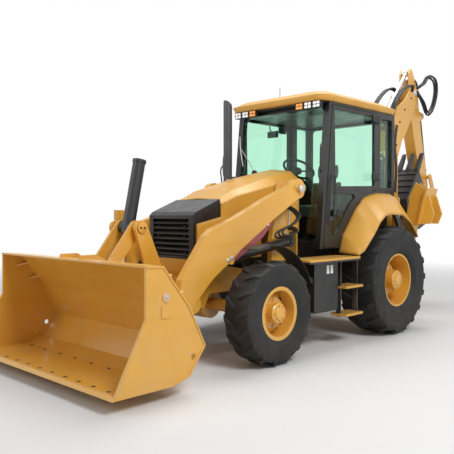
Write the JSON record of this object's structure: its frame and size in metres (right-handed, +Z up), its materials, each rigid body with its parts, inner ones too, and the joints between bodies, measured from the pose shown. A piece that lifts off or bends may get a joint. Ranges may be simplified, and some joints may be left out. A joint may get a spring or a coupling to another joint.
{
  "type": "backhoe loader",
  "caption": "Wheeled backhoe loader with a front loader bucket, an enclosed cab, a rear digging arm and two stabilizer legs.",
  "frame": {"origin": "on the ground under the middle of the machine's outer box", "axes": "+X forward, towards the loader bucket; +Y to the machine's left; +Z up"},
  "size_m": [7.003, 2.316, 3.665],
  "materials": {
    "yellow_paint": "semi-gloss",
    "dark_frame": "satin",
    "cab_black": "satin",
    "tyre_rubber": "matt",
    "rod_chrome": "polished",
    "cast_dark": "matt",
    "bare_steel": "worn",
    "stack_steel": "satin",
    "red_paint": "semi-gloss",
    "black_plastic": "matt",
    "lamp_lens": "glossy",
    "seat_cloth": "woven",
    "cab_glass": "clear"
  },
  "bodies": {
    "chassis": {"main_frame": "yellow_paint", "rear_frame": "yellow_paint", "drivetrain": "cast_dark", "hood": "yellow_paint", "grille": "cab_black", "exhaust_stack": "stack_steel", "front_axle": "yellow_paint", "rear_axle": "yellow_paint", "rear_fenders": "yellow_paint", "front_fenders": "black_plastic", "side_boxes": "dark_frame", "decks_and_steps": "yellow_paint", "cab_frame": "cab_black", "cab_roof": "yellow_paint", "cab_glass": "cab_glass", "seat": "seat_cloth", "steering_console": "black_plastic", "lamps": "lamp_lens"},
    "wheel_front_left": {"tyre_front_left": "tyre_rubber", "rim_front_left": "yellow_paint"},
    "wheel_front_right": {"tyre_front_right": "tyre_rubber", "rim_front_right": "yellow_paint"},
    "wheel_rear_left": {"tyre_rear_left": "tyre_rubber", "rim_rear_left": "yellow_paint"},
    "wheel_rear_right": {"tyre_rear_right": "tyre_rubber", "rim_rear_right": "yellow_paint"},
    "knuckle_left": {"knuckle_left": "yellow_paint"},
    "knuckle_right": {"knuckle_right": "yellow_paint"},
    "door_left": {"door_left": "cab_black", "door_glass_left": "cab_glass"},
    "door_right": {"door_right": "cab_black", "door_glass_right": "cab_glass"},
    "loader_arms": {"loader_arms": "yellow_paint", "lift_brace": "red_paint"},
    "lift_barrels": {"lift_barrels": "cab_black"},
    "lift_rods": {"lift_rods": "rod_chrome"},
    "tilt_lever": {"tilt_lever": "yellow_paint"},
    "tilt_link": {"tilt_link": "yellow_paint"},
    "tilt_barrel": {"tilt_barrel": "cab_black"},
    "tilt_rod": {"tilt_rod": "rod_chrome"},
    "loader_bucket": {"loader_bucket": "yellow_paint"},
    "swing_frame": {"swing_frame": "yellow_paint"},
    "boom": {"boom": "yellow_paint", "boom_hoses": "black_plastic"},
    "boom_barrel": {"boom_barrel": "cab_black"},
    "boom_rod": {"boom_rod": "rod_chrome"},
    "stick": {"stick": "yellow_paint"},
    "stick_barrel": {"stick_barrel": "bare_steel"},
    "stick_rod": {"stick_rod": "rod_chrome"},
    "backhoe_bucket": {"backhoe_bucket": "dark_frame"},
    "bucket_barrel": {"bucket_barrel": "cab_black"},
    "bucket_rod": {"bucket_rod": "rod_chrome"},
    "tipping_links": {"tipping_links": "yellow_paint"},
    "power_link": {"power_link": "yellow_paint"},
    "stabilizer_left": {"stabilizer_left": "yellow_paint"},
    "stabilizer_right": {"stabilizer_right": "yellow_paint"},
    "stabilizer_barrel_left": {"stabilizer_barrel_left": "cab_black"},
    "stabilizer_barrel_right": {"stabilizer_barrel_right": "cab_black"},
    "stabilizer_rod_left": {"stabilizer_rod_left": "rod_chrome"},
    "stabilizer_rod_right": {"stabilizer_rod_right": "rod_chrome"}
  },
  "joints": [
    {"name": "steer_left", "type": "hinge", "parent": "chassis", "child": "knuckle_left", "pos_m": [1.5445, 0.705, 0.497], "axis": [0, 0, 1], "range_deg": [-33, 33]},
    {"name": "steer_right", "type": "hinge", "parent": "chassis", "child": "knuckle_right", "pos_m": [1.5445, -0.705, 0.497], "axis": [0, 0, 1], "range_deg": [-33, 33]},
    {"name": "wheel_front_left_spin", "type": "hinge", "parent": "knuckle_left", "child": "wheel_front_left", "pos_m": [1.5445, 0.922, 0.497], "axis": [0, 1, 0], "continuous": true},
    {"name": "wheel_front_right_spin", "type": "hinge", "parent": "knuckle_right", "child": "wheel_front_right", "pos_m": [1.5445, -0.922, 0.497], "axis": [0, 1, 0], "continuous": true},
    {"name": "wheel_rear_left_spin", "type": "hinge", "parent": "chassis", "child": "wheel_rear_left", "pos_m": [-0.6555, 0.857, 0.645], "axis": [0, 1, 0], "continuous": true},
    {"name": "wheel_rear_right_spin", "type": "hinge", "parent": "chassis", "child": "wheel_rear_right", "pos_m": [-0.6555, -0.857, 0.645], "axis": [0, 1, 0], "continuous": true},
    {"name": "door_left_hinge", "type": "hinge", "parent": "chassis", "child": "door_left", "pos_m": [-0.7735, 0.706, 2], "axis": [0, 0, 1], "range_deg": [0, 85]},
    {"name": "door_right_hinge", "type": "hinge", "parent": "chassis", "child": "door_right", "pos_m": [-0.7735, -0.706, 2], "axis": [0, 0, -1], "range_deg": [0, 85]},
    {"name": "loader_lift", "type": "hinge", "parent": "chassis", "child": "loader_arms", "pos_m": [0.7775, 0, 1.698], "axis": [0, -1, 0], "range_deg": [-1.5, 92.4]},
    {"name": "lift_barrel_pivot", "type": "hinge", "parent": "chassis", "child": "lift_barrels", "pos_m": [0.7745, 0, 1.135], "axis": [0, -1, 0], "range_deg": [-2, 77]},
    {"name": "lift_rod_slide", "type": "slide", "parent": "lift_barrels", "child": "lift_rods", "axis": [0.9895, 0, -0.1444], "range_m": [-0.02, 0.73]},
    {"name": "loader_tilt", "type": "hinge", "parent": "loader_arms", "child": "loader_bucket", "pos_m": [2.4945, 0, 0.35], "axis": [0, 1, 0], "range_deg": [-35, 115]},
    {"name": "tilt_lever_pivot", "type": "hinge", "parent": "loader_arms", "child": "tilt_lever", "pos_m": [2.2445, 0, 0.61], "axis": [0, 1, 0], "range_deg": [-32, 104]},
    {"name": "tilt_link_pivot", "type": "hinge", "parent": "tilt_lever", "child": "tilt_link", "pos_m": [2.5045, 0, 1.3], "axis": [0, 1, 0], "range_deg": [-88, 27]},
    {"name": "tilt_barrel_pivot", "type": "hinge", "parent": "tilt_lever", "child": "tilt_barrel", "pos_m": [2.5045, 0, 1.3], "axis": [0, 1, 0], "range_deg": [-81, 25]},
    {"name": "tilt_rod_slide", "type": "slide", "parent": "tilt_barrel", "child": "tilt_rod", "axis": [0.2092, 0, -0.9779], "range_m": [-0.36, 0.11]},
    {"name": "boom_swing", "type": "hinge", "parent": "chassis", "child": "swing_frame", "pos_m": [-2.0555, 0, 0.86], "axis": [0, 0, 1], "range_deg": [-90, 90]},
    {"name": "boom_lower", "type": "hinge", "parent": "swing_frame", "child": "boom", "pos_m": [-2.2755, 0, 1.02], "axis": [0, -1, 0], "range_deg": [0, 100]},
    {"name": "boom_barrel_pivot", "type": "hinge", "parent": "swing_frame", "child": "boom_barrel", "pos_m": [-2.0555, 0, 1.4], "axis": [0, -1, 0], "range_deg": [0, 107]},
    {"name": "boom_rod_slide", "type": "slide", "parent": "boom_barrel", "child": "boom_rod", "axis": [0.0311, 0, 0.9995], "range_m": [0, 0.68]},
    {"name": "stick_out", "type": "hinge", "parent": "boom", "child": "stick", "pos_m": [-2.8475, 0, 3.298], "axis": [0, 1, 0], "range_deg": [0, 115]},
    {"name": "stick_barrel_pivot", "type": "hinge", "parent": "boom", "child": "stick_barrel", "pos_m": [-2.0805, 0, 2.76], "axis": [0, 1, 0], "range_deg": [-14, 0]},
    {"name": "stick_rod_slide", "type": "slide", "parent": "stick_barrel", "child": "stick_rod", "axis": [-0.632, 0, 0.775], "range_m": [-0.49, 0]},
    {"name": "dig_bucket_open", "type": "hinge", "parent": "stick", "child": "backhoe_bucket", "pos_m": [-3.2555, 0, 1.62], "axis": [0, 1, 0], "range_deg": [0, 160]},
    {"name": "tipping_links_pivot", "type": "hinge", "parent": "stick", "child": "tipping_links", "pos_m": [-3.2755, 0, 2.02], "axis": [0, 1, 0], "range_deg": [0, 80]},
    {"name": "power_link_pivot", "type": "hinge", "parent": "tipping_links", "child": "power_link", "pos_m": [-3.4575, 0, 1.664], "axis": [0, 1, 0], "range_deg": [-72, 0]},
    {"name": "bucket_barrel_pivot", "type": "hinge", "parent": "stick", "child": "bucket_barrel", "pos_m": [-3.1755, 0, 2.98], "axis": [0, 1, 0], "range_deg": [0, 18]},
    {"name": "bucket_rod_slide", "type": "slide", "parent": "bucket_barrel", "child": "bucket_rod", "axis": [-0.2095, 0, -0.9778], "range_m": [-0.375, 0]},
    {"name": "stabilizer_left_pivot", "type": "hinge", "parent": "chassis", "child": "stabilizer_left", "pos_m": [-1.6355, 0.56, 0.64], "axis": [-1, 0, 0], "range_deg": [0, 97]},
    {"name": "stabilizer_barrel_left_pivot", "type": "hinge", "parent": "chassis", "child": "stabilizer_barrel_left", "pos_m": [-1.6355, 0.4, 1.6], "axis": [-1, 0, 0], "range_deg": [-4, 0]},
    {"name": "stabilizer_rod_left_slide", "type": "slide", "parent": "stabilizer_barrel_left", "child": "stabilizer_rod_left", "axis": [0, 0.3464, -0.9381], "range_m": [0, 0.49]},
    {"name": "stabilizer_right_pivot", "type": "hinge", "parent": "chassis", "child": "stabilizer_right", "pos_m": [-1.6355, -0.56, 0.64], "axis": [1, 0, 0], "range_deg": [0, 97]},
    {"name": "stabilizer_barrel_right_pivot", "type": "hinge", "parent": "chassis", "child": "stabilizer_barrel_right", "pos_m": [-1.6355, -0.4, 1.6], "axis": [1, 0, 0], "range_deg": [-4, 0]},
    {"name": "stabilizer_rod_right_slide", "type": "slide", "parent": "stabilizer_barrel_right", "child": "stabilizer_rod_right", "axis": [0, -0.3464, -0.9381], "range_m": [0, 0.49]}
  ],
  "couplings": [
    {"joint": "steer_right", "follows": "steer_left", "ratio": 1},
    {"joint": "lift_barrel_pivot", "follows": "loader_lift", "ratio": 0.8195},
    {"joint": "lift_rod_slide", "follows": "loader_lift", "m_per_rad": 0.4417},
    {"joint": "tilt_lever_pivot", "follows": "loader_tilt", "ratio": 0.8984},
    {"joint": "tilt_link_pivot", "follows": "loader_tilt", "ratio": -0.7584},
    {"joint": "tilt_barrel_pivot", "follows": "loader_tilt", "ratio": -0.6995},
    {"joint": "tilt_rod_slide", "follows": "loader_tilt", "m_per_rad": -0.1783},
    {"joint": "boom_barrel_pivot", "follows": "boom_lower", "ratio": 1.0501},
    {"joint": "boom_rod_slide", "follows": "boom_lower", "m_per_rad": 0.3808},
    {"joint": "stick_barrel_pivot", "follows": "stick_out", "ratio": -0.11},
    {"joint": "stick_rod_slide", "follows": "stick_out", "m_per_rad": -0.24},
    {"joint": "tipping_links_pivot", "follows": "dig_bucket_open", "ratio": 0.4933},
    {"joint": "power_link_pivot", "follows": "dig_bucket_open", "ratio": -0.4397},
    {"joint": "bucket_barrel_pivot", "follows": "dig_bucket_open", "ratio": 0.1099},
    {"joint": "bucket_rod_slide", "follows": "dig_bucket_open", "m_per_rad": -0.1317},
    {"joint": "stabilizer_barrel_left_pivot", "follows": "stabilizer_left_pivot", "ratio": -0.0285},
    {"joint": "stabilizer_rod_left_slide", "follows": "stabilizer_left_pivot", "m_per_rad": 0.2821},
    {"joint": "stabilizer_barrel_right_pivot", "follows": "stabilizer_right_pivot", "ratio": -0.0285},
    {"joint": "stabilizer_rod_right_slide", "follows": "stabilizer_right_pivot", "m_per_rad": 0.2821}
  ]
}
